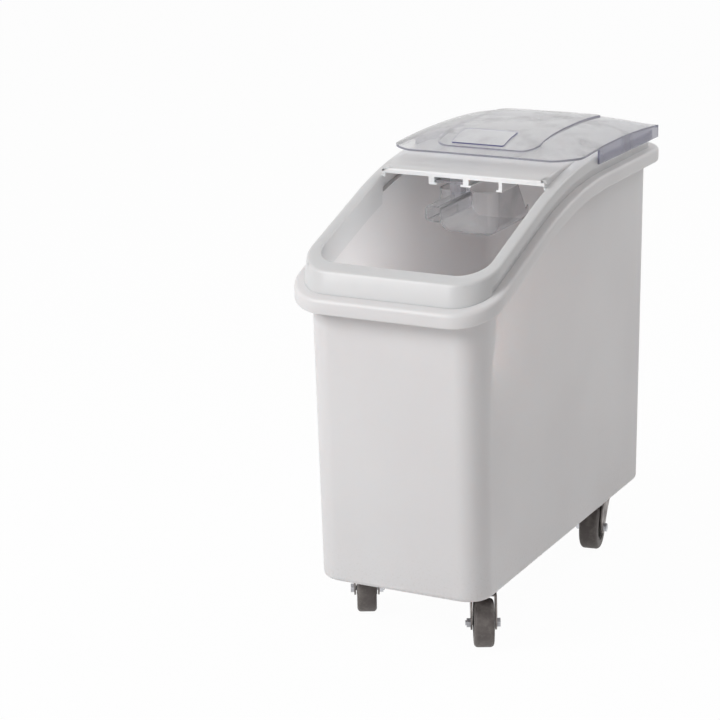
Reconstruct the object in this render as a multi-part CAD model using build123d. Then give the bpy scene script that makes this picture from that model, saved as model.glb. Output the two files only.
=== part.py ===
from build123d import *
import math
import os

# Slant-top ingredient bin on four swivel casters, in millimetres.
# +Z is up, -Y is the front, and the origin is on the floor under the middle of the bin.

os.makedirs("parts", exist_ok=True)

# Driving sizes of the tub
BIN_LENGTH = 749.0
BIN_WIDTH = 338.0
FLOOR_Z = 92.0
WALL = 3.5
TUB_FLOOR = 4.5
RIM_OVERHANG = 24.0
RIM_HEIGHT = 23.0
RIM_CORNER = 68.0
SIDE_DRAFT = 4.0
FRONT_DRAFT = 21.0
BACK_DRAFT = 4.0
BOTTOM_CORNER = 40.0
BOTTOM_EDGE = 9.0

# Side profile: level at the back, one long arc, then straight down to the front
RIM_LEVEL = 673.0
SLOPE = math.radians(19.5)
RIM_KNEE_Y = -30.0
RIM_ARC = 784.0

# Driving sizes of the lid frame
LIP_RISE = 30.0
LIP_KNEE_Y = -31.0
LIP_ARC = 700.0
LIP_INSET = 13.0
LIP_FACE = 18.0
LIP_WIDTH = 19.0
LIP_STEP = 4.0
FRAME_WALL = 3.0
FRAME_SEAT_GAP = 0.2
SKIRT_DEPTH = 14.0
FASCIA_END_Y = -318.0
FASCIA_LEAN = 0.28
OPENING_FRONT_Y = -327.0
OPENING_CORNER = 44.0
DECK_FRONT_Y = -90.0
DECK_FRONT_Z = 693.5
DECK_ARC_END_Y = 30.0
DECK_ROUND = 5.0
CROSSBAR_LOW_Z = 685.0

# Driving sizes of the sliding lid
LID_FRONT_Y = -27.0
LID_BACK_Y = 338.0
LID_FRONT_Z = 708.0
LID_BACK_Z = 704.5
LID_ARC = 2100.0
LID_WALL = 3.0
LID_SIDE_GAP = 1.6
LID_CROWN = 18.0
LID_CROWN_POWER = 4
LID_FLANGE = 17.0
LID_FLANGE_START = 102.0
LID_FRONT_CORNER = 46.0
LID_REAR_GAP = 0.4
TONGUE_HALF_WIDTH = 86.0
TONGUE_SETBACK = 14.0
TONGUE_LENGTH = 300.0
TONGUE_RISE = 2.5
TONGUE_CORNER = 26.0
POCKET_WIDTH = 90.0
POCKET_DEPTH = 58.0
POCKET_X = -12.0
POCKET_RAISE = 2.2
BOND_GAP = 0.3

# Driving sizes of the scoop and its hanger rails
SCOOP_X = -18.0
BOWL_WIDTH = 100.0
BOWL_LENGTH = 135.0
BOWL_DEPTH = 72.0
BOWL_FRONT_Y = -40.0
BOWL_WALL = 2.5
BOWL_CORNER = 20.0
BOWL_DROP = 18.0
BOWL_MOUTH_TILT = 35.0
HANDLE_LENGTH = 115.0
HANDLE_WIDTH = 27.0
HANDLE_HEIGHT = 25.0
HANDLE_WALL = 2.5
HANDLE_ROUND = 6.0
HANGER_TOP_GAP = 0.3
HANGER_TOE = 4.0
HANGER_TOE_THICK = 3.0
HANGER_WEB = 9.5
HANGER_PITCH = 58.0
HANGER_LOW_Z = 673.0
HANGER_LENGTH = 58.0
HANGING_THICK = 3.0
HANGING_LENGTH = 54.0
STEM_WIDTH = 18.0
STEM_LENGTH = 32.0
STEM_SETBACK = 8.0
SLIDE_GAP = 0.5

# Driving sizes of a caster
CASTER_X = 100.0
CASTER_Y = 235.0
WHEEL_RADIUS = 37.5
WHEEL_WIDTH = 31.0
HUB_RADIUS = 22.0
TREAD_ROUND = 6.0
TRAIL = 30.0
AXLE_RADIUS = 4.0
AXLE_CLEARANCE = 0.05
PLATE_LENGTH = 66.0
PLATE_WIDTH = 58.0
PLATE_THICK = 2.6
RACE_RADIUS = 21.0
RACE_HEIGHT = 6.5
FORK_SHEET = 2.6
FORK_GAP = 1.2
FORK_TOP_RADIUS = 24.0
KINGPIN_RADIUS = 5.0
MOUNT_BOLT_RADIUS = 3.0
BOLT_HOLE_CLEARANCE = 0.2
BOLT_SPACING_X = 44.0
BOLT_SPACING_Y = 52.0
RUN_GAP = 0.3

SWIVEL_ANGLES = {
    "front_left": 27.0,
    "front_right": 207.0,
    "rear_right": 189.0,
    "rear_left": 160.0,
}


def rounded_box(half_x, y_front, y_back, radius, z):
    """Rounded rectangle at height z, as a face."""
    wide = 2 * half_x
    deep = y_back - y_front
    middle = (y_back + y_front) / 2
    return Pos(0, middle, z) * RectangleRounded(wide, deep, radius)


def prism(half_x, y_front, y_back, radius, z_low, z_high):
    """Upright rounded rectangle between two heights."""
    return extrude(rounded_box(half_x, y_front, y_back, radius, z_low), z_high - z_low)


def lean_prism(half_x, y_front, y_back, radius, z_base, z_high, lean):
    """Rounded rectangle whose front leans back as it rises."""
    rise = z_high - z_base
    low = rounded_box(half_x, y_front, y_back, radius, z_base)
    high = rounded_box(half_x, y_front + lean * rise, y_back, radius, z_high)
    return loft([low.face(), high.face()], ruled=True)


def top_profile(level, knee_y, arc, lift):
    """Side profile of a top edge: level, arc, then the slope down to the front."""
    tangent = arc * math.tan(SLOPE / 2)
    back = (BIN_LENGTH, level + lift)
    arc_end = (knee_y + tangent, level + lift)
    arc_start = (knee_y - tangent * math.cos(SLOPE), level + lift - tangent * math.sin(SLOPE))
    run = BIN_LENGTH
    front = (arc_start[0] - run * math.cos(SLOPE), arc_start[1] - run * math.sin(SLOPE))
    return back, arc_end, arc_start, front


def under_profile(level, knee_y, arc, lift):
    """Solid of all that lies under a top profile."""
    back, arc_end, arc_start, front = top_profile(level, knee_y, arc, lift)
    half = math.sin(SLOPE / 2) * arc, math.cos(SLOPE / 2) * arc
    arc_mid = (arc_end[0] - half[0], arc_end[1] - arc + half[1])
    deep = -BIN_LENGTH
    edges = [
        Line(back, arc_end),
        ThreePointArc(arc_end, arc_mid, arc_start),
        Line(arc_start, front),
        Line(front, (front[0], deep)),
        Line((front[0], deep), (back[0], deep)),
        Line((back[0], deep), back),
    ]
    face = make_face(edges)
    return extrude(Plane.YZ * face, BIN_WIDTH, both=True)


def profile_height(y, level, knee_y, arc):
    """Height of a top profile at y."""
    tangent = arc * math.tan(SLOPE / 2)
    arc_end_y = knee_y + tangent
    if y >= arc_end_y:
        return level
    if y >= knee_y - tangent * math.cos(SLOPE):
        return level - arc + math.sqrt(arc**2 - (arc_end_y - y) ** 2)
    return level - (knee_y - y) * math.tan(SLOPE)


def under_rim(lift):
    return under_profile(RIM_LEVEL, RIM_KNEE_Y, RIM_ARC, lift)


LIP_LEVEL = RIM_LEVEL + LIP_RISE


def under_lip(lift):
    return under_profile(LIP_LEVEL, LIP_KNEE_Y, LIP_ARC, lift)


# Tub: one moulding, an open box with a small draft and a turned-down rim
RIM_HALF_X = BIN_WIDTH / 2
RIM_HALF_Y = BIN_LENGTH / 2
BODY_HALF_X = RIM_HALF_X - RIM_OVERHANG
BODY_HALF_Y = RIM_HALF_Y - RIM_OVERHANG
BODY_CORNER = RIM_CORNER - RIM_OVERHANG
TUB_TOP_Z = RIM_LEVEL + 1.0


def tub_shell(inset, z_low, low_corner, low_edge):
    """Drafted box inside the tub's outer faces by inset."""
    top = rounded_box(
        BODY_HALF_X - inset, -BODY_HALF_Y + inset, BODY_HALF_Y - inset, BODY_CORNER - inset, TUB_TOP_Z
    )
    low = rounded_box(
        BODY_HALF_X - SIDE_DRAFT - inset,
        -BODY_HALF_Y + FRONT_DRAFT + inset,
        BODY_HALF_Y - BACK_DRAFT - inset,
        low_corner - inset,
        z_low,
    )
    box = loft([low.face(), top.face()], ruled=True)
    bottom = box.faces().sort_by(Axis.Z)[0]
    return fillet(bottom.edges(), low_edge)


def make_tub():
    outer = tub_shell(0, FLOOR_Z, BOTTOM_CORNER, BOTTOM_EDGE)
    inner = tub_shell(WALL, FLOOR_Z + TUB_FLOOR, BOTTOM_CORNER, BOTTOM_EDGE - WALL)
    walls = (outer & under_rim(0)) - inner
    for hole in mounting_holes(MOUNT_BOLT_RADIUS + BOLT_HOLE_CLEARANCE):
        walls = walls - hole
    band = prism(RIM_HALF_X, -RIM_HALF_Y, RIM_HALF_Y, RIM_CORNER, 0, TUB_TOP_Z)
    band = (band & under_rim(0)) - under_rim(-RIM_HEIGHT)
    under = prism(RIM_HALF_X - WALL, -RIM_HALF_Y + WALL, RIM_HALF_Y - WALL, RIM_CORNER - WALL, 0, TUB_TOP_Z)
    under = under & under_rim(-WALL)
    return walls + (band - under - inner)


# Casters: where each one stands and how far it is turned
CASTER_PLACES = {
    "front_left": (-CASTER_X, -CASTER_Y),
    "front_right": (CASTER_X, -CASTER_Y),
    "rear_right": (CASTER_X, CASTER_Y),
    "rear_left": (-CASTER_X, CASTER_Y),
}


def bolt_places(name):
    x, y = CASTER_PLACES[name]
    places = []
    for sx in (-1, 1):
        for sy in (-1, 1):
            places.append((x + sx * BOLT_SPACING_X / 2, y + sy * BOLT_SPACING_Y / 2))
    return places


def mounting_holes(radius):
    """Bolt holes through the tub's floor, one for each caster bolt."""
    return [
        Pos(x, y, FLOOR_Z) * Cylinder(radius, 4 * TUB_FLOOR)
        for name in CASTER_PLACES
        for x, y in bolt_places(name)
    ]


tub = make_tub()


# Lid frame: a moulded collar on the rim, with side rails, crossbar, deck and hanger rails
LIP_HALF_X = RIM_HALF_X - LIP_INSET
LIP_FRONT_Y = -RIM_HALF_Y + LIP_INSET
LIP_BACK_Y = RIM_HALF_Y - LIP_INSET
LIP_CORNER = RIM_CORNER - LIP_INSET
OPENING_HALF_X = LIP_HALF_X - LIP_WIDTH
DECK_HALF_X = OPENING_HALF_X
RIM_FRONT_Z = profile_height(-RIM_HALF_Y, RIM_LEVEL, RIM_KNEE_Y, RIM_ARC)


def lip_prism(inset):
    """The frame's outside, with its leaning front, inside its faces by inset."""
    return lean_prism(
        LIP_HALF_X - inset,
        LIP_FRONT_Y + inset,
        LIP_BACK_Y - inset,
        LIP_CORNER - inset,
        RIM_FRONT_Z,
        LIP_LEVEL + 1.0,
        FASCIA_LEAN,
    )


def opening_prism(grow, y_back):
    """The frame's opening, grown by the given amount, round at the front and square at y_back."""
    past = y_back + grow + 2 * OPENING_CORNER
    whole = prism(
        OPENING_HALF_X + grow,
        OPENING_FRONT_Y - grow,
        past,
        OPENING_CORNER + grow,
        FLOOR_Z,
        LIP_LEVEL + LIP_RISE,
    )
    reach = BIN_LENGTH
    behind = Pos(0, y_back + grow + reach / 2, LIP_LEVEL) * Box(2 * BIN_WIDTH, reach, 2 * BIN_LENGTH)
    return whole - behind


DECK_DROP = LIP_LEVEL - DECK_FRONT_Z
DECK_RUN = DECK_ARC_END_Y - DECK_FRONT_Y
DECK_ARC = (DECK_RUN**2 + DECK_DROP**2) / (2 * DECK_DROP)


def under_deck(lift, half_x, y_front):
    """Solid of all that lies under the raised deck's top, lifted by the given amount."""
    mid_y = DECK_ARC_END_Y - DECK_RUN / 2
    mid_z = LIP_LEVEL - DECK_ARC + math.sqrt(DECK_ARC**2 - (DECK_RUN / 2) ** 2)
    start = (DECK_FRONT_Y, DECK_FRONT_Z + lift)
    end = (DECK_ARC_END_Y, LIP_LEVEL + lift)
    back_y = LIP_BACK_Y - LIP_WIDTH
    edges = [
        ThreePointArc(start, (mid_y, mid_z + lift), end),
        Line(end, (back_y, end[1])),
        Line((back_y, end[1]), (back_y, FLOOR_Z)),
        Line((back_y, FLOOR_Z), (DECK_FRONT_Y, FLOOR_Z)),
        Line((DECK_FRONT_Y, FLOOR_Z), start),
    ]
    solid = extrude(Plane.YZ * make_face(edges), half_x, both=True)
    reach = BIN_LENGTH
    keep = Pos(0, y_front + reach / 2, LIP_LEVEL) * Box(2 * BIN_WIDTH, reach, 2 * BIN_LENGTH)
    return solid & keep


def make_crossbar():
    """Raised deck panel, rounded at its front and sides, before it is hollowed."""
    panel = under_deck(0, DECK_HALF_X, DECK_FRONT_Y)
    panel = panel - under_deck(0, BIN_WIDTH, DECK_FRONT_Y - 1).moved(Location((0, 0, -LIP_RISE)))
    rails = [e for e in panel.edges() if abs(abs(e.center().X) - DECK_HALF_X) < BOND_GAP]
    long_rails = [e for e in rails if abs(e.tangent_at(0.5).Z) < SLOPE]
    top_rails = [e for e in long_rails if e.center().Z > LIP_LEVEL - DECK_ROUND]
    return fillet(top_rails, DECK_ROUND)


def hanger_rail(web_x, web, left_toe, right_toe, low_z):
    """One scoop hanger rail under the deck: a web with toes out to either side of its foot."""
    mid_y = DECK_FRONT_Y + HANGER_LENGTH / 2
    height = LIP_LEVEL - low_z
    bar = Pos(web_x, mid_y, low_z + height / 2) * Box(web, HANGER_LENGTH, height)
    bar = bar & under_deck(-FRAME_WALL / 2, BIN_WIDTH, DECK_FRONT_Y)
    foot_x = web_x + (right_toe - left_toe) / 2
    foot = Pos(foot_x, mid_y, low_z + HANGER_TOE_THICK / 2)
    return bar + foot * Box(web + left_toe + right_toe, HANGER_LENGTH, HANGER_TOE_THICK)


def make_lid_frame():
    body = (lip_prism(0) & under_lip(0)) - under_rim(FRAME_SEAT_GAP)
    recess = lip_prism(0) - lip_prism(LIP_STEP)
    recess = recess & under_lip(-LIP_FACE)
    keep = Pos(0, FASCIA_END_Y + BIN_LENGTH, LIP_LEVEL) * Box(2 * BIN_WIDTH, 2 * BIN_LENGTH, 2 * BIN_LENGTH)
    body = body - (recess & keep)
    body = body + make_crossbar()
    body = body - opening_prism(0, DECK_FRONT_Y)
    wall = FRAME_WALL
    channel = lip_prism(LIP_STEP + wall) & under_lip(-wall)
    channel = channel + under_deck(-wall, DECK_HALF_X - wall, DECK_FRONT_Y)
    channel = channel - opening_prism(wall, DECK_FRONT_Y)
    body = body - channel
    window = Pos(0, DECK_FRONT_Y, CROSSBAR_LOW_Z - BIN_WIDTH / 2)
    body = body - window * Box(2 * OPENING_HALF_X, 3 * wall, BIN_WIDTH)
    skirt = opening_prism(wall, DECK_FRONT_Y - wall) - opening_prism(0, DECK_FRONT_Y + wall)
    skirt = (skirt & under_rim(2 * FRAME_SEAT_GAP)) - under_rim(-SKIRT_DEPTH)
    body = body + skirt
    back_y = BODY_HALF_Y - WALL - 2 * wall
    back_low = RIM_LEVEL - SKIRT_DEPTH
    back_high = LIP_LEVEL - wall / 2
    rib = Pos(0, back_y + wall / 2, (back_low + back_high) / 2)
    return body + rib * Box(DECK_HALF_X, wall, back_high - back_low)


HANGER_LEFT_X = SCOOP_X - HANGER_PITCH / 2 - HANGER_WEB / 2
HANGER_THIN_WEB = HANGER_WEB - HANGER_TOE

lid_frame = make_lid_frame()
lid_frame += hanger_rail(HANGER_LEFT_X, HANGER_WEB, 0, HANGER_TOE, HANGER_LOW_Z)
lid_frame += hanger_rail(HANGER_LEFT_X + HANGER_PITCH, HANGER_WEB, HANGER_TOE, HANGER_TOE, HANGER_LOW_Z)
lid_frame += hanger_rail(
    HANGER_LEFT_X + 2 * HANGER_PITCH, HANGER_THIN_WEB, HANGER_TOE, 0, HANGER_LOW_Z - HANGER_TOE_THICK
)


# Sliding lid: one clear sheet, domed, curved along its length, with flanges down its sides
LID_HALF_X = LIP_HALF_X + LID_SIDE_GAP + LID_WALL
LID_SPAN = LID_BACK_Y - LID_FRONT_Y
LID_MID_Y = (LID_BACK_Y + LID_FRONT_Y) / 2
LID_SECTIONS = 9
CROWN_POINTS = 9


def lid_chord_height(y):
    """Height at y of the straight line between the lid's front and back undersides."""
    share = (y - LID_FRONT_Y) / LID_SPAN
    return LID_FRONT_Z + share * (LID_BACK_Z - LID_FRONT_Z)


def lid_edge_height(y):
    """Underside height of the lid's edge at y: the chord plus the sheet's long arc."""
    return lid_chord_height(y) + ((LID_SPAN / 2) ** 2 - (y - LID_MID_Y) ** 2) / (2 * LID_ARC)


def lid_crown(x, y, half_x):
    """Rise of the dome over the edge."""
    across = 1 - abs(x / half_x) ** LID_CROWN_POWER
    along = 1 - abs((y - LID_MID_Y) / (LID_SPAN / 2 + LID_WALL)) ** LID_CROWN_POWER
    return LID_CROWN * max(across, 0) * max(along, 0)


def lid_section(y, half_x, lift, depth):
    """Cross section of the lid's space at y, as a face square to Y."""
    edge = lid_edge_height(y) + lift
    points = []
    for i in range(CROWN_POINTS):
        x = half_x * math.sin(math.radians(-90 + 180 * i / (CROWN_POINTS - 1)))
        points.append((x, edge + lid_crown(x, y, half_x)))
    low = lid_chord_height(y) + lift - depth
    edges = [
        Spline(points),
        Line(points[-1], (half_x, low)),
        Line((half_x, low), (-half_x, low)),
        Line((-half_x, low), points[0]),
    ]
    plane = Plane(origin=(0, y, 0), x_dir=(1, 0, 0), z_dir=(0, -1, 0))
    return plane * make_face(edges)


def lid_space(inset, lift, depth, overrun):
    """Lofted solid under the lid's top."""
    sections = []
    for i in range(LID_SECTIONS):
        y = LID_FRONT_Y - overrun + (LID_SPAN + 2 * overrun) * i / (LID_SECTIONS - 1)
        sections.append(lid_section(y, LID_HALF_X - inset, lift, depth).face())
    return loft(sections)


def corner_cut(half_x, y_edge, into, radius):
    """What rounds off both corners at one end of the lid; into is +1 or -1, towards the lid."""
    margin = 2 * LID_WALL
    cuts = []
    for side in (-1, 1):
        centre_x = side * (half_x - radius)
        centre_y = y_edge + into * radius
        reach = radius + margin
        block = Pos(centre_x + side * reach / 2, centre_y - into * reach / 2, LIP_LEVEL) * Box(
            reach, reach, 4 * LIP_RISE
        )
        cuts.append(block - Pos(centre_x, centre_y, LIP_LEVEL) * Cylinder(radius, 8 * LIP_RISE))
    return cuts


def make_lid():
    outer = lid_space(0, LID_WALL, LID_WALL + LID_FLANGE, 0)
    inner = lid_space(LID_WALL, 0, 3 * LID_FLANGE, LID_WALL)
    sheet = outer - inner
    start_y = LID_FRONT_Y + LID_FLANGE_START
    front_low = lid_edge_height(LID_FRONT_Y) - 2 * LID_FLANGE
    steps = 4
    points = []
    for i in range(steps + 1):
        y = start_y - (LID_FLANGE_START + LID_WALL) * i / steps
        points.append((y, lid_edge_height(y)))
    edges = [
        Spline(points),
        Line(points[-1], (points[-1][0], front_low)),
        Line((points[-1][0], front_low), (start_y, front_low)),
        Line((start_y, front_low), points[0]),
    ]
    sheet = sheet - extrude(Plane.YZ * make_face(edges), BIN_WIDTH, both=True)
    skirt_low = LIP_LEVEL + LID_REAR_GAP
    rear = Pos(0, LID_BACK_Y - LID_WALL / 2, skirt_low + LIP_RISE) * Box(
        2 * LID_HALF_X - LID_WALL, LID_WALL, 2 * LIP_RISE
    )
    sheet = sheet + (rear & outer)
    return sheet - corner_cut(LID_HALF_X, LID_FRONT_Y, 1, LID_FRONT_CORNER)


def tongue_prism(inset):
    front = LID_FRONT_Y + TONGUE_SETBACK + inset
    return prism(
        TONGUE_HALF_WIDTH - inset,
        front,
        front + TONGUE_LENGTH - 2 * inset,
        TONGUE_CORNER - inset,
        LIP_LEVEL - LIP_RISE,
        LIP_LEVEL + 2 * LIP_RISE,
    )


lid = make_lid()
raised = lid_space(0, LID_WALL + TONGUE_RISE, LID_FLANGE, 0) & tongue_prism(0)
pressed = lid_space(LID_WALL, TONGUE_RISE, 3 * LID_FLANGE, LID_WALL) & tongue_prism(LID_WALL)
lid = (lid + (raised - lid_space(LID_WALL, 0, 3 * LID_FLANGE, LID_WALL))) - pressed

# Label pocket: a thin clear plate on the raised tongue, following its curve
pocket_front = LID_FRONT_Y + TONGUE_SETBACK + 6.0
pocket_area = Pos(POCKET_X, 0, 0) * prism(
    POCKET_WIDTH / 2, pocket_front, pocket_front + POCKET_DEPTH, 4.0, LIP_LEVEL - LIP_RISE, LIP_LEVEL + 2 * LIP_RISE
)
pocket_top = lid_space(0, LID_WALL + TONGUE_RISE + BOND_GAP + POCKET_RAISE, LID_FLANGE, 0)
pocket_low = lid_space(0, LID_WALL + TONGUE_RISE + BOND_GAP, 3 * LID_FLANGE, LID_WALL)
label_pocket = (pocket_top - pocket_low) & pocket_area


# Scoop: clear flat-bottomed bowl, open at the top and at its back, with a hollow handle in front
BOWL_LOW_Z = HANGER_LOW_Z - BOWL_DROP - BOWL_DEPTH
BOWL_HIGH_Z = BOWL_LOW_Z + BOWL_DEPTH
BOWL_MID_Y = BOWL_FRONT_Y + BOWL_LENGTH / 2
PLATE_LEFT = HANGER_LEFT_X + HANGER_WEB / 2 + SLIDE_GAP
PLATE_RIGHT = HANGER_LEFT_X + HANGER_PITCH - HANGER_WEB / 2 - SLIDE_GAP
PLATE_MID_X = (PLATE_LEFT + PLATE_RIGHT) / 2
HANGING_LOW_Z = HANGER_LOW_Z + HANGER_TOE_THICK + HANGER_TOP_GAP


def bowl_block(inset, shift_y, shift_z):
    """Block with its bottom and front edges rounded, inside the bowl's sides by inset."""
    block = Pos(SCOOP_X, BOWL_MID_Y + shift_y, (BOWL_LOW_Z + BOWL_HIGH_Z) / 2 + shift_z)
    block = block * Box(BOWL_WIDTH - 2 * inset, BOWL_LENGTH, BOWL_DEPTH)
    floor_edges = block.edges().group_by(Axis.Z)[0].sort_by(Axis.Y)[:-1]
    front_edges = block.edges().filter_by(Axis.Z).sort_by(Axis.Y)[:2]
    return fillet(floor_edges + front_edges, BOWL_CORNER - inset)


def make_scoop():
    bowl = bowl_block(0, 0, 0) - bowl_block(BOWL_WALL, BOWL_WALL, BOWL_WALL)
    rear_top = Pos(SCOOP_X, BOWL_FRONT_Y + BOWL_LENGTH, BOWL_HIGH_Z) * Rot(BOWL_MOUTH_TILT, 0, 0)
    bowl = bowl - rear_top * Box(2 * BOWL_WIDTH, BOWL_DEPTH, BOWL_DEPTH)
    grip_mid = Pos(SCOOP_X, BOWL_FRONT_Y - HANDLE_LENGTH / 2, BOWL_HIGH_Z - HANDLE_HEIGHT / 2)
    grip = grip_mid * Pos(0, BOWL_WALL / 4, 0) * Box(HANDLE_WIDTH, HANDLE_LENGTH + BOWL_WALL / 2, HANDLE_HEIGHT)
    grip = fillet(grip.edges().filter_by(Axis.Y), HANDLE_ROUND)
    bore = Box(HANDLE_WIDTH - 2 * HANDLE_WALL, HANDLE_LENGTH, HANDLE_HEIGHT - 2 * HANDLE_WALL)
    grip = grip - grip_mid * Pos(0, -HANDLE_WALL, 0) * bore
    hanging = Pos(PLATE_MID_X, DECK_FRONT_Y + HANGER_LENGTH / 2, HANGING_LOW_Z + HANGING_THICK / 2)
    hanging = hanging * Box(PLATE_RIGHT - PLATE_LEFT, HANGING_LENGTH, HANGING_THICK)
    stem_low = BOWL_HIGH_Z - HANDLE_WALL / 2
    stem_high = HANGING_LOW_Z + HANGING_THICK / 2
    stem = Pos(PLATE_MID_X, BOWL_FRONT_Y - STEM_SETBACK, (stem_low + stem_high) / 2)
    return bowl + grip + hanging + stem * Box(STEM_WIDTH, STEM_LENGTH, stem_high - stem_low)


scoop = make_scoop()


# Caster pieces, modelled once at the origin with the kingpin on the Z axis and trailing along +Y
AXLE_Z = WHEEL_RADIUS
PLATE_LOW_Z = FLOOR_Z - PLATE_THICK
RACE_LOW_Z = PLATE_LOW_Z - RACE_HEIGHT
FORK_TOP_Z = RACE_LOW_Z - RUN_GAP
HUB_HALF = WHEEL_WIDTH / 2 + 0.8
FORK_INNER = HUB_HALF + FORK_GAP
FORK_OUTER = FORK_INNER + FORK_SHEET
BOLT_HEAD = 5.5
NUT_HEIGHT = 6.0


def make_top_plate():
    plate = Pos(0, 0, PLATE_LOW_Z + PLATE_THICK / 2) * Box(PLATE_WIDTH, PLATE_LENGTH, PLATE_THICK)
    plate = fillet(plate.edges().filter_by(Axis.Z), 7.0)
    for sx in (-1, 1):
        for sy in (-1, 1):
            place = Pos(sx * BOLT_SPACING_X / 2, sy * BOLT_SPACING_Y / 2, PLATE_LOW_Z + PLATE_THICK / 2)
            slot = SlotOverall(2 * MOUNT_BOLT_RADIUS + 4, 2 * MOUNT_BOLT_RADIUS + 0.4)
            plate = plate - place * extrude(slot, PLATE_THICK, both=True)
    cup = Pos(0, 0, PLATE_LOW_Z - RACE_HEIGHT / 2 + 0.01) * Cone(RACE_RADIUS - 3, RACE_RADIUS, RACE_HEIGHT)
    plate = plate + cup
    return plate - Pos(0, 0, PLATE_LOW_Z) * Cylinder(KINGPIN_RADIUS + 0.05, 4 * RACE_HEIGHT)


def make_fork():
    top = Pos(0, 0, FORK_TOP_Z - FORK_SHEET / 2) * Cylinder(FORK_TOP_RADIUS, FORK_SHEET)
    saddle = Pos(0, TRAIL / 2, FORK_TOP_Z - FORK_SHEET / 2) * Box(2 * FORK_OUTER, TRAIL, FORK_SHEET)
    body = top + saddle
    for side in (-1, 1):
        x = side * (FORK_INNER + FORK_SHEET / 2)
        outline = [
            Line((-13, FORK_TOP_Z), (TRAIL, FORK_TOP_Z)),
            ThreePointArc((TRAIL, FORK_TOP_Z), (TRAIL + 13, AXLE_Z + 22), (TRAIL + 11, AXLE_Z)),
            ThreePointArc((TRAIL + 11, AXLE_Z), (TRAIL, AXLE_Z - 11), (TRAIL - 11, AXLE_Z)),
            ThreePointArc((TRAIL - 11, AXLE_Z), (4, AXLE_Z + 20), (-13, FORK_TOP_Z - 10)),
            Line((-13, FORK_TOP_Z - 10), (-13, FORK_TOP_Z)),
        ]
        leg = extrude(Plane.YZ.offset(x) * make_face(outline), FORK_SHEET / 2, both=True)
        body = body + leg
    axle = Pos(0, TRAIL, AXLE_Z) * Rot(0, 90, 0) * Cylinder(AXLE_RADIUS + 0.02, 4 * FORK_OUTER)
    pin = Pos(0, 0, FORK_TOP_Z) * Cylinder(KINGPIN_RADIUS + AXLE_CLEARANCE, 4 * FORK_SHEET)
    return body - axle - pin


def make_kingpin():
    shaft_high = PLATE_LOW_Z + PLATE_THICK
    shaft_low = FORK_TOP_Z - FORK_SHEET - 4.0
    shaft = Pos(0, 0, (shaft_high + shaft_low) / 2) * Cylinder(KINGPIN_RADIUS, shaft_high - shaft_low)
    head = Pos(0, 0, shaft_low + 1.7) * Cylinder(KINGPIN_RADIUS + 3.5, 3.4)
    return shaft + fillet(head.edges().group_by(Axis.Z)[0], 1.5)


def make_tyre():
    half = WHEEL_WIDTH / 2
    outer = Cylinder(WHEEL_RADIUS, WHEEL_WIDTH)
    outer = fillet(outer.edges(), TREAD_ROUND)
    ring = outer - Cylinder(HUB_RADIUS, 2 * WHEEL_WIDTH)
    return Pos(0, TRAIL, AXLE_Z) * Rot(0, 90, 0) * ring


def make_hub():
    barrel = Cylinder(AXLE_RADIUS + 6.5, 2 * HUB_HALF)
    rim = Cylinder(HUB_RADIUS, WHEEL_WIDTH - 4) - Cylinder(HUB_RADIUS - 3.0, 2 * WHEEL_WIDTH)
    web = Cylinder(HUB_RADIUS - 1, 8.0)
    hub = barrel + rim + web - Cylinder(AXLE_RADIUS + AXLE_CLEARANCE, 4 * WHEEL_WIDTH)
    return Pos(0, TRAIL, AXLE_Z) * Rot(0, 90, 0) * hub


def hexagon(across_flats, height):
    return extrude(RegularPolygon(across_flats / 2, 6, major_radius=False), height / 2, both=True)


def make_axle_bolt():
    length = 2 * FORK_OUTER + NUT_HEIGHT + 2
    shaft = Pos(0, 0, (length - 2 * FORK_OUTER) / 2) * Cylinder(AXLE_RADIUS, length)
    head = Pos(0, 0, -FORK_OUTER - BOLT_HEAD / 2) * hexagon(13.0, BOLT_HEAD)
    return Pos(0, TRAIL, AXLE_Z) * Rot(0, 90, 0) * (shaft + head)


def make_axle_nut():
    nut = hexagon(13.0, NUT_HEIGHT) - Cylinder(AXLE_RADIUS, 2 * NUT_HEIGHT)
    return Pos(FORK_OUTER + NUT_HEIGHT / 2, TRAIL, AXLE_Z) * Rot(0, 90, 0) * nut


def make_mount_bolts():
    bolts = []
    low = PLATE_LOW_Z
    high = FLOOR_Z + TUB_FLOOR + NUT_HEIGHT + 1.5
    for sx in (-1, 1):
        for sy in (-1, 1):
            place = Pos(sx * BOLT_SPACING_X / 2, sy * BOLT_SPACING_Y / 2, 0)
            shaft = Pos(0, 0, (low + high) / 2) * Cylinder(MOUNT_BOLT_RADIUS, high - low)
            head = Pos(0, 0, low - 2) * hexagon(10.0, 4.0)
            bolts.append(place * (shaft + head))
    return Compound(children=bolts)


def make_mount_nuts():
    nuts = []
    for sx in (-1, 1):
        for sy in (-1, 1):
            place = Pos(sx * BOLT_SPACING_X / 2, sy * BOLT_SPACING_Y / 2, FLOOR_Z + TUB_FLOOR + NUT_HEIGHT / 2)
            nuts.append(place * (hexagon(10.0, NUT_HEIGHT) - Cylinder(MOUNT_BOLT_RADIUS, 2 * NUT_HEIGHT)))
    return Compound(children=nuts)


CASTER_FIXED = {
    "top_plate": make_top_plate(),
    "kingpin": make_kingpin(),
    "mount_bolts": make_mount_bolts(),
    "mount_nuts": make_mount_nuts(),
}
CASTER_TURNING = {
    "fork": make_fork(),
    "tyre": make_tyre(),
    "hub": make_hub(),
    "axle_bolt": make_axle_bolt(),
    "axle_nut": make_axle_nut(),
}

for corner, (x, y) in CASTER_PLACES.items():
    for piece, solid in CASTER_FIXED.items():
        export_step(Pos(x, y, 0) * solid, f"parts/{corner}_{piece}.step")
    for piece, solid in CASTER_TURNING.items():
        turned = Pos(x, y, 0) * Rot(0, 0, SWIVEL_ANGLES[corner]) * solid
        export_step(turned, f"parts/{corner}_{piece}.step")

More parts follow.
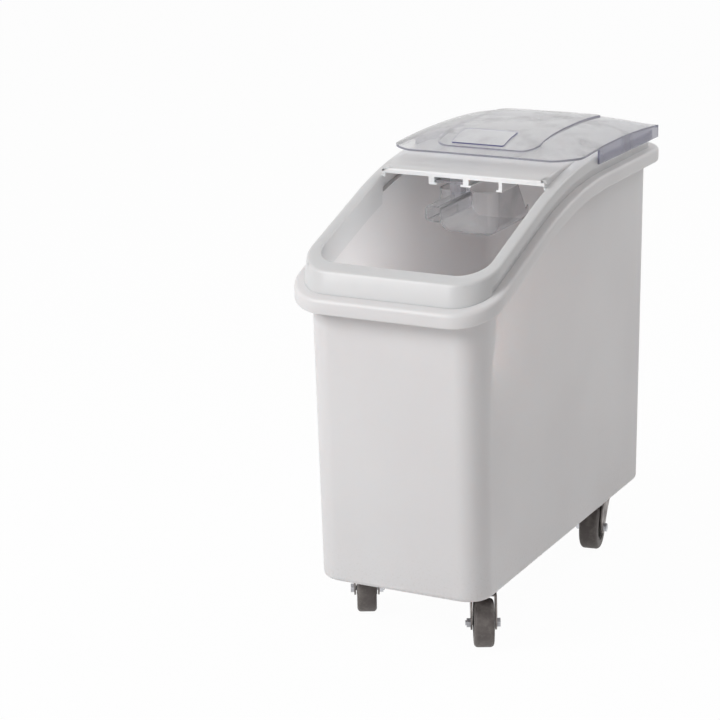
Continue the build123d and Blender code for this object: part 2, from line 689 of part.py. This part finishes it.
export_step(tub, "parts/tub.step")
export_step(lid_frame, "parts/lid_frame.step")
export_step(lid, "parts/sliding_lid.step")
export_step(label_pocket, "parts/label_pocket.step")
export_step(scoop, "parts/scoop.step")
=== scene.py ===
import math

import bmesh
import bpy
from mathutils import Matrix, Vector


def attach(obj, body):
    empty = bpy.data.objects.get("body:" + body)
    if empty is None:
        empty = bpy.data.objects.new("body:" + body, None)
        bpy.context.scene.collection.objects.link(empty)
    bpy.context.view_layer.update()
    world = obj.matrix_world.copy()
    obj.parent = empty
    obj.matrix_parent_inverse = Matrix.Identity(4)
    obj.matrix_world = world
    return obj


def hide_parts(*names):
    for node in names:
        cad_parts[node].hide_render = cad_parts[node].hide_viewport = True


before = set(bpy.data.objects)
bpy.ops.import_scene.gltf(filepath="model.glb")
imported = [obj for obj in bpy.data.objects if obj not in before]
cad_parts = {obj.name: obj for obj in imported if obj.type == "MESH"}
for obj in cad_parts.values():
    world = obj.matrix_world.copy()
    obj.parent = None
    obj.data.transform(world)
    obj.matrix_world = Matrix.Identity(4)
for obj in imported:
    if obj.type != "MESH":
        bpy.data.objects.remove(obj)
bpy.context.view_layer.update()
bpy.ops.object.select_all(action="DESELECT")


# Studio. A wide white floor under soft light: a broad lamp at the front left, a dim one behind,
# a small one hidden inside the store to light its walls, and an even white room, seen by the
# camera, by gloss and through the clear lid.
class Wire:
    """A shader socket whose operators add the Math nodes that they stand for."""

    def __init__(self, paint, socket):
        self.paint = paint
        self.socket = socket

    def math(self, operation, *others):
        return self.paint.node("Math", {"operation": operation}, self, *others)

    def __add__(self, other):
        return self.math("ADD", other)

    def __radd__(self, other):
        return self.math("ADD", other)

    def __sub__(self, other):
        return self.math("SUBTRACT", other)

    def __rsub__(self, other):
        return self.paint.node("Math", {"operation": "SUBTRACT"}, other, self)

    def __mul__(self, other):
        return self.math("MULTIPLY", other)

    def __rmul__(self, other):
        return self.math("MULTIPLY", other)

    def between(self, low, high):
        """0 at low, 1 at high and a smooth step from one to the other."""
        settings = {"interpolation_type": "SMOOTHSTEP"}
        return self.paint.node("MapRange", settings, Value=self, **{"From Min": low, "From Max": high})


class Paint:
    """A material's node tree, with one method that adds any node."""

    def __init__(self, tree):
        self.tree = tree
        tree.nodes.clear()

    def node(self, kind, settings=None, *places, out=0, **named):
        """Adds a node, with its sockets filled in order or by name. None leaves a socket alone."""
        made = self.tree.nodes.new("ShaderNode" + kind)
        for key, value in (settings or {}).items():
            setattr(made, key, value)
        for place, value in [*enumerate(places), *named.items()]:
            socket = made.inputs[place]
            if isinstance(value, Wire):
                self.tree.links.new(value.socket, socket)
            elif value is not None:
                socket.default_value = value
        return Wire(self, made.outputs[out]) if made.outputs else made

    def blend(self, share, first, second):
        """One colour fading into the other as share goes from 0 to 1."""
        number_and_vector_sockets = [None] * 5
        colours = [end if isinstance(end, Wire) else (*end, 1) for end in (first, second)]
        return self.node("Mix", {"data_type": "RGBA"}, share, *number_and_vector_sockets, *colours, out=2)

    def place(self, stretch=(1, 1, 1)):
        """The piece's own coordinates in metres, stretched along each axis."""
        spot = self.node("TexCoord", None, out="Object")
        return self.node("Mapping", None, Vector=spot, Scale=stretch)

    def noise(self, scale, detail=3, rough=0.5, stretch=(1, 1, 1)):
        """Soft noise from 0 to 1, with features of about 1 / scale metres."""
        spot = self.place(stretch)
        return self.node("TexNoise", None, Vector=spot, Scale=scale, Detail=detail, Roughness=rough)

    def height(self):
        """Height over the floor in metres."""
        spot = self.node("TexCoord", None, out="Object")
        return self.node("SeparateXYZ", None, spot, out="Z")

    def bump(self, relief, depth, under=None):
        """A normal from a relief of 0 to 1 that stands depth metres high."""
        return self.node("Bump", None, Height=relief, Distance=depth, Strength=1.0, Normal=under)


def new_paint(name):
    """A new material, and the Paint that fills its node tree."""
    made = bpy.data.materials.new(name)
    made.use_nodes = True
    return made, Paint(made.node_tree)


def seen_rays(paint):
    """1 for the rays that show the room: from the camera, in gloss and through clear plastic."""
    shown = paint.node("LightPath", None, out="Is Camera Ray")
    gloss = paint.node("LightPath", None, out="Is Glossy Ray")
    through = paint.node("LightPath", None, out="Is Transmission Ray")
    return shown.math("MAXIMUM", gloss.math("MAXIMUM", through))


ROOM_LIGHT = 0.37
ROOM_TINT = (1.0, 0.985, 0.98, 1)
WHITE = (1, 1, 1, 1)
FLOOR_WHITE = (0.9, 0.9, 0.9, 1)
FLOOR_SIZE = 14.0
FLOOR_GLOW = 0.97

world = bpy.data.worlds.new("white_room")
bpy.context.scene.world = world
world.use_nodes = True
room = Paint(world.node_tree)
dim = room.node("Background", None, Color=ROOM_TINT, Strength=ROOM_LIGHT)
bright = room.node("Background", None, Color=WHITE, Strength=1.0)
room.node("OutputWorld", None, room.node("MixShader", None, seen_rays(room), dim, bright))

floor_finish, sweep = new_paint("white_sweep")
matte = sweep.node("BsdfDiffuse", None, Color=FLOOR_WHITE)
glow = sweep.node("Emission", None, Color=WHITE, Strength=1.0)
glowing = seen_rays(sweep) * FLOOR_GLOW
sweep.node("OutputMaterial", None, sweep.node("MixShader", None, glowing, matte, glow))
bpy.ops.mesh.primitive_plane_add(size=FLOOR_SIZE)
floor = bpy.context.object
floor.name = "studio_floor"
floor.data.materials.append(floor_finish)

KEY_SPOT = (-1.9, -3.0, 2.7)
KEY_AIM = (0, 0, 0.4)
KEY_SIZE = 1.8
KEY_WATTS = 90.0
BACK_SPOT = (1.2, 2.4, 2.6)
BACK_AIM = (0, 0, 0.6)
BACK_SIZE = 1.4
BACK_WATTS = 22.0
STORE_SPOT = (0.06, -0.30, 0.52)
STORE_AIM = (-0.05, 0.30, 0.44)
STORE_SIZE = 0.16
STORE_WATTS = 0.55


def add_lamp(name, spot, aim, size, watts):
    """A square lamp that shines from its spot towards its aim, unseen by the camera."""
    lamp = bpy.data.lights.new(name, "AREA")
    lamp.size = size
    lamp.energy = watts
    stand = bpy.data.objects.new(name, lamp)
    bpy.context.collection.objects.link(stand)
    stand.location = spot
    stand.rotation_euler = (Vector(aim) - Vector(spot)).to_track_quat("-Z", "Y").to_euler()
    stand.visible_camera = False
    return stand


add_lamp("key_lamp", KEY_SPOT, KEY_AIM, KEY_SIZE, KEY_WATTS)
add_lamp("back_lamp", BACK_SPOT, BACK_AIM, BACK_SIZE, BACK_WATTS)
store_lamp = add_lamp("store_lamp", STORE_SPOT, STORE_AIM, STORE_SIZE, STORE_WATTS)
store_lamp.visible_glossy = False
store_lamp.visible_transmission = False


# Camera. It stands in front of the bin and to its right, and looks down at it past its front
# right corner, through a long lens.
CAMERA_SPOT = Vector((1.5212, -3.3834, 1.4470))
CAMERA_YAW = math.radians(27.33)
CAMERA_DIP = math.radians(16.13)
CAMERA_ROLL = math.radians(-0.892)
LENS_MM = 120.3
SENSOR_MM = 36.0
level_right = Vector((math.cos(CAMERA_YAW), math.sin(CAMERA_YAW), 0))
ahead = Vector((
    -math.sin(CAMERA_YAW) * math.cos(CAMERA_DIP),
    math.cos(CAMERA_YAW) * math.cos(CAMERA_DIP),
    -math.sin(CAMERA_DIP),
))
right = math.cos(CAMERA_ROLL) * level_right + math.sin(CAMERA_ROLL) * level_right.cross(ahead)
turn = Matrix((right, right.cross(ahead), -ahead)).transposed()
lens = bpy.data.cameras.new("photo_camera")
lens.lens = LENS_MM
lens.sensor_width = SENSOR_MM
camera = bpy.data.objects.new("photo_camera", lens)
bpy.context.collection.objects.link(camera)
camera.matrix_world = Matrix.Translation(CAMERA_SPOT) @ turn.to_4x4()
bpy.context.scene.camera = camera
bpy.context.scene.view_settings.view_transform = "Standard"


# Tub. One thin-walled moulding of white polyethylene, satin, with the mould's fine skin, faint
# scuffs and a little dust low down. Its rim's outer edges are rounded here, on a copy.
TUB_WHITE = (0.79, 0.78, 0.785)
TUB_SHADE = (0.735, 0.715, 0.72)
TUB_GLOSS = 0.36
TUB_DUST = 0.25
DUST = (0.60, 0.57, 0.54)
DUST_FULL_Z = 0.085
DUST_END_Z = 0.2
PLASTIC_IOR = 1.5
GLOW_THROUGH = 0.5
GLOW_DEPTH = 0.006
GLOW_TINT = (1.0, 0.85, 0.8)
GRAIN_DEPTH = 0.00004
WAVE_DEPTH = 0.0005
CLOUD_SHARE = 0.35
CLOUD_ROUGH = 0.06
SCUFF_SHARE = 0.12
SCUFF_ROUGH = 0.16
SCUFF_STRETCH = (1, 0.12, 1)


def moulded_white(name, colour, shade, gloss, dust_share):
    """White polyethylene: clouded tone, dust near the floor, scuffs, and light in its depth."""
    made, paint = new_paint(name)
    cloud = paint.noise(scale=4.0, detail=2).between(0.35, 0.7)
    tone = paint.blend(cloud * CLOUD_SHARE, colour, shade)
    low = 1 - paint.height().between(DUST_FULL_Z, DUST_END_Z)
    specks = paint.noise(scale=260.0, detail=4).between(0.5, 0.75)
    tone = paint.blend(low * specks * dust_share, tone, DUST)
    streaks = paint.noise(scale=55.0, detail=5, rough=0.6, stretch=SCUFF_STRETCH).between(0.62, 0.72)
    scuffs = streaks * paint.noise(scale=7.0, detail=1).between(0.5, 0.65)
    tone = paint.blend(scuffs * SCUFF_SHARE, tone, shade)
    rough = gloss + cloud * CLOUD_ROUGH + scuffs * SCUFF_ROUGH
    skin = paint.bump(paint.noise(scale=900.0, detail=2), GRAIN_DEPTH)
    wave = paint.bump(paint.noise(scale=14.0, detail=1), WAVE_DEPTH, skin)
    depth = {
        "Subsurface Weight": GLOW_THROUGH,
        "Subsurface Radius": GLOW_TINT,
        "Subsurface Scale": GLOW_DEPTH,
    }
    surface = paint.node(
        "BsdfPrincipled", None,
        **{"Base Color": tone, "Roughness": rough, "IOR": PLASTIC_IOR, "Normal": wave, **depth},
    )
    paint.node("OutputMaterial", None, surface)
    return made


RIM_HALF = Vector((0.169, 0.3745))
RIM_CORNER = 0.068
RIM_REACH = 0.0006
RIM_TOP_ROUND = 0.006
RIM_FOOT_ROUND = 0.0035
MERGE_REACH = 2e-5
FLAT = math.radians(0.05)
SHARP = math.radians(35)
SMOOTH_UNDER = math.radians(32)
FACES_UP = 0.7


def outside_by(point, half, corner):
    """How far a point lies outside a rounded rectangle, seen from above."""
    over = [max(abs(point[i]) - half[i] + corner, 0) for i in (0, 1)]
    return math.hypot(*over) - corner


def select_only(piece):
    """Leaves one piece selected and active."""
    bpy.ops.object.select_all(action="DESELECT")
    piece.select_set(True)
    bpy.context.view_layer.objects.active = piece


def sealed_copy(node, name):
    """A copy of a CAD piece, with its loose triangles joined into one skin."""
    made = bpy.data.objects.new(name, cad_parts[node].data.copy())
    bpy.context.collection.objects.link(made)
    select_only(made)
    bpy.ops.object.mode_set(mode="EDIT")
    bpy.ops.mesh.select_all(action="SELECT")
    bpy.ops.mesh.customdata_custom_splitnormals_clear()
    bpy.ops.mesh.remove_doubles(threshold=MERGE_REACH)
    bpy.ops.mesh.dissolve_limited(angle_limit=FLAT)
    bpy.ops.mesh.quads_convert_to_tris(ngon_method="BEAUTY")
    bpy.ops.object.mode_set(mode="OBJECT")
    return made


def round_edges(piece, chosen, radius, steps):
    """Rounds the sharp edges that chosen picks by their two ends and their faces' normals."""
    bpy.ops.object.mode_set(mode="EDIT")
    bpy.ops.mesh.select_mode(type="EDGE")
    bpy.ops.mesh.select_all(action="DESELECT")
    skin = bmesh.from_edit_mesh(piece.data)
    picked = 0
    for edge in skin.edges:
        if len(edge.link_faces) != 2 or edge.calc_face_angle() < SHARP or not edge.is_convex:
            continue
        if chosen(edge.verts[0].co, edge.verts[1].co, [face.normal for face in edge.link_faces]):
            edge.select_set(True)
            picked += 1
    bmesh.update_edit_mesh(piece.data)
    if picked:
        bpy.ops.mesh.bevel(offset=radius, segments=steps, affect="EDGES", clamp_overlap=False)
    bpy.ops.object.mode_set(mode="OBJECT")


def at_rim(sign):
    """Picks the rim's outer edge: the top one for 1, the one at its foot for -1."""
    def chosen(first, second, normals):
        near = all(abs(outside_by(end, RIM_HALF, RIM_CORNER)) < RIM_REACH for end in (first, second))
        return near and any(normal.z * sign > FACES_UP for normal in normals)
    return chosen


def finish_white(piece, node, body, finish):
    """Smooths and paints a rounded copy, and shows it in place of the CAD piece."""
    select_only(piece)
    bpy.ops.object.shade_smooth_by_angle(angle=SMOOTH_UNDER)
    piece.data.materials.clear()
    piece.data.materials.append(finish)
    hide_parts(node)
    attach(piece, body)


tub = sealed_copy("tub", "tub_moulding")
round_edges(tub, at_rim(1), RIM_TOP_ROUND, steps=4)
round_edges(tub, at_rim(-1), RIM_FOOT_ROUND, steps=3)
tub_finish = moulded_white("tub_polyethylene", TUB_WHITE, TUB_SHADE, TUB_GLOSS, TUB_DUST)
finish_white(tub, "tub", "bin", tub_finish)


# Lid frame. A second white moulding that drops into the tub's mouth: side rails, front band,
# raised deck and the rails that the scoop hangs on. It is glossier than the tub.
FRAME_WHITE = (0.71, 0.71, 0.715)
FRAME_SHADE = (0.66, 0.65, 0.655)
FRAME_GLOSS = 0.28
FRAME_DUST = 0.0
RAIL_ROUND = 0.0035
HANGER_TOP = 0.681
HANGER_HALF_SPAN = 0.13
CROSSBAR_FACE_Y = -0.094
FACES_SIDE = 0.45


def at_frame_top(first, second, normals):
    """Picks the frame's upper edges, but not those of the hanger rails under the deck."""
    up = max(normal.z for normal in normals)
    side = min(abs(normal.z) for normal in normals)
    behind_crossbar = first.y > CROSSBAR_FACE_Y
    among_hangers = min(first.z, second.z) < HANGER_TOP and abs(first.x) < HANGER_HALF_SPAN
    return up > FACES_UP and side < FACES_SIDE and not (behind_crossbar and among_hangers)


lid_frame = sealed_copy("lid_frame", "frame_moulding")
round_edges(lid_frame, at_frame_top, RAIL_ROUND, steps=3)
frame_finish = moulded_white("frame_polyethylene", FRAME_WHITE, FRAME_SHADE, FRAME_GLOSS, FRAME_DUST)
finish_white(lid_frame, "lid_frame", "bin", frame_finish)


# Sliding lid. Clear polycarbonate 3 mm thick, formed hot over a mould. It looks grey-white on
# its faces, with fine rubbing marks; its vertical edges and flanges carry a painted dark blue shade.
LID_TINT = (0.97, 0.968, 0.965, 1)
DEPTH_TINT = (0.45, 0.47, 0.80, 1)
PAINTED_SHADE_BLUE = (0.09, 0.09, 0.26, 1)
MILK = (0.50, 0.495, 0.49, 1)
CLEAR_IOR = 1.58
CLEAR_ROUGH = 0.02
HAZE_ROUGH = 0.03
RUB_STRETCH = (1, 0.08, 1)
CLEAR_WAVE_DEPTH = 0.0004
EDGE_LEAN = 0.15
FACE_LEAN = 0.5


def clear_plastic(name, tint, depth_tint, density, rub, milkiness, painted_shade_share):
    """Clear sheet: milky on its faces, with a painted dark blue shade where it stands near vertical."""
    made, paint = new_paint(name)
    lines = paint.noise(scale=90.0, detail=6, rough=0.7, stretch=RUB_STRETCH).between(0.66, 0.72)
    patches = paint.noise(scale=9.0, detail=1).between(0.45, 0.6)
    haze = paint.noise(scale=18.0, detail=3).between(0.45, 0.8)
    rough = CLEAR_ROUGH + lines * patches * rub + haze * HAZE_ROUGH
    wave = paint.bump(paint.noise(scale=16.0, detail=1), CLEAR_WAVE_DEPTH)
    glass = paint.node(
        "BsdfPrincipled", None,
        **{"Base Color": tint, "Roughness": rough, "IOR": CLEAR_IOR, "Normal": wave,
           "Transmission Weight": 1.0},
    )
    lit = paint.node("BsdfTransparent", None, Color=tint)
    shadow = paint.node("LightPath", None, out="Is Shadow Ray")
    body = paint.node("VolumeAbsorption", None, Color=depth_tint, Density=density)
    milk = paint.node("BsdfDiffuse", None, Color=MILK)
    cloudy = paint.node("MixShader", None, milkiness + haze * milkiness, glass, milk)
    # Painted shade: near-vertical faces, found by their facing, get a dark blue diffuse that stands in
    # for the light carried through and along the sheet's edges.
    facing = paint.node("TexCoord", None, out="Normal")
    lean = paint.node("SeparateXYZ", None, facing, out="Z").math("ABSOLUTE")
    painted_shade_mask = 1 - lean.between(EDGE_LEAN, FACE_LEAN)
    painted_shade_bsdf = paint.node("BsdfDiffuse", None, Color=PAINTED_SHADE_BLUE)
    with_painted_shade = paint.node("MixShader", None, painted_shade_mask * painted_shade_share, cloudy, painted_shade_bsdf)
    mixed = paint.node("MixShader", None, shadow, with_painted_shade, lit)
    paint.node("OutputMaterial", None, mixed, body)
    return made


def dress(node, finish):
    """Gives a CAD piece its finish, in every material slot that it has."""
    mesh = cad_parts[node].data
    if not mesh.materials:
        mesh.materials.append(finish)
    for place in range(len(mesh.materials)):
        mesh.materials[place] = finish


dress("sliding_lid", clear_plastic(
    "lid_polycarbonate", LID_TINT, DEPTH_TINT,
    density=12.0, rub=0.12, milkiness=0.22, painted_shade_share=0.25,
))


# Label pocket. A thin clear plate bonded to the raised tongue of the lid. Its cut edges carry
# more of the painted dark blue edge shade than the lid's.
POCKET_TINT = (0.98, 0.98, 0.98, 1)
dress("label_pocket", clear_plastic(
    "pocket_polycarbonate", POCKET_TINT, DEPTH_TINT,
    density=12.0, rub=0.2, milkiness=0.10, painted_shade_share=0.7,
))


# Scoop. Clear polycarbonate again, moulded in one piece with its hollow handle and its hanging
# plate. It is milkier than the pocket and has none of the painted dark blue edge shade.
SCOOP_TINT = (0.96, 0.96, 0.97, 1)
SCOOP_DEPTH_TINT = (0.60, 0.62, 0.90, 1)
dress("scoop", clear_plastic(
    "scoop_polycarbonate", SCOOP_TINT, SCOOP_DEPTH_TINT,
    density=8.0, rub=0.2, milkiness=0.14, painted_shade_share=0.0,
))


# Casters. Zinc-plated steel plates and forks gone brown-grey, bright fasteners and kingpins, a
# grey-brown tread and a dark nylon hub. Each bolts through the tub's floor.
STEEL = (0.33, 0.30, 0.285)
STEEL_DARK = (0.17, 0.15, 0.145)
ZINC = (0.62, 0.63, 0.66)
ZINC_DULL = (0.40, 0.40, 0.42)
TREAD = (0.115, 0.10, 0.095)
TREAD_DUSTY = (0.235, 0.215, 0.20)
NYLON = (0.10, 0.095, 0.09)
NYLON_WORN = (0.17, 0.165, 0.16)
STEEL_METAL = 0.95
STAIN_METAL_LOSS = 0.25
STAIN_ROUGH = 0.18
SPECK_SHARE = 0.35
SPECK_ROUGH = 0.1
STEEL_RELIEF = 0.00006
WEAR_SHARE = 0.7
WEAR_ROUGH = 0.2
FLOOR_DUST_SHARE = 0.3
FLOOR_DUST_TOP_Z = 0.03
MOULDED_RELIEF = 0.00012


def plated_steel(name, bright_tone, dull_tone, gloss, grain):
    """Zinc plate with dull stains and small dark specks, both rougher than the rest."""
    made, paint = new_paint(name)
    stain = paint.noise(scale=45.0, detail=4, rough=0.6).between(0.35, 0.68)
    tone = paint.blend(stain, bright_tone, dull_tone)
    specks = paint.noise(scale=700.0, detail=3).between(0.6, 0.75)
    tone = paint.blend(specks * SPECK_SHARE, tone, dull_tone)
    rough = gloss + stain * STAIN_ROUGH + specks * SPECK_ROUGH
    metal = STEEL_METAL - stain * STAIN_METAL_LOSS
    relief = paint.bump(paint.noise(scale=grain, detail=4), STEEL_RELIEF)
    surface = paint.node(
        "BsdfPrincipled", None,
        **{"Base Color": tone, "Roughness": rough, "Metallic": metal, "Normal": relief},
    )
    paint.node("OutputMaterial", None, surface)
    return made


def moulded_dark(name, tone_deep, tone_worn, gloss, grain):
    """Dark rubber or nylon, worn paler in patches and dusty where it meets the floor."""
    made, paint = new_paint(name)
    wear = paint.noise(scale=70.0, detail=5, rough=0.65).between(0.4, 0.7)
    floor_dust = 1 - paint.height().between(0.0, FLOOR_DUST_TOP_Z)
    pale = (wear * WEAR_SHARE + floor_dust * FLOOR_DUST_SHARE).math("MINIMUM", 1.0)
    tone = paint.blend(pale, tone_deep, tone_worn)
    rough = gloss + wear * WEAR_ROUGH
    relief = paint.bump(paint.noise(scale=grain, detail=3), MOULDED_RELIEF)
    surface = paint.node(
        "BsdfPrincipled", None,
        **{"Base Color": tone, "Roughness": rough, "IOR": PLASTIC_IOR, "Normal": relief},
    )
    paint.node("OutputMaterial", None, surface)
    return made


caster_steel = plated_steel("caster_steel", STEEL, STEEL_DARK, gloss=0.38, grain=400.0)
bright_zinc = plated_steel("bright_zinc", ZINC, ZINC_DULL, gloss=0.25, grain=900.0)
tread_finish = moulded_dark("tread_rubber", TREAD, TREAD_DUSTY, gloss=0.55, grain=500.0)
hub_finish = moulded_dark("hub_nylon", NYLON, NYLON_WORN, gloss=0.42, grain=600.0)
CASTER_FINISHES = {
    "top_plate": caster_steel,
    "kingpin": bright_zinc,
    "mount_bolts": bright_zinc,
    "mount_nuts": bright_zinc,
    "fork": caster_steel,
    "axle_bolt": bright_zinc,
    "axle_nut": bright_zinc,
    "tyre": tread_finish,
    "hub": hub_finish,
}
for corner in ("front_left", "front_right", "rear_right", "rear_left"):
    for piece, finish in CASTER_FINISHES.items():
        dress(f"{corner}_{piece}", finish)
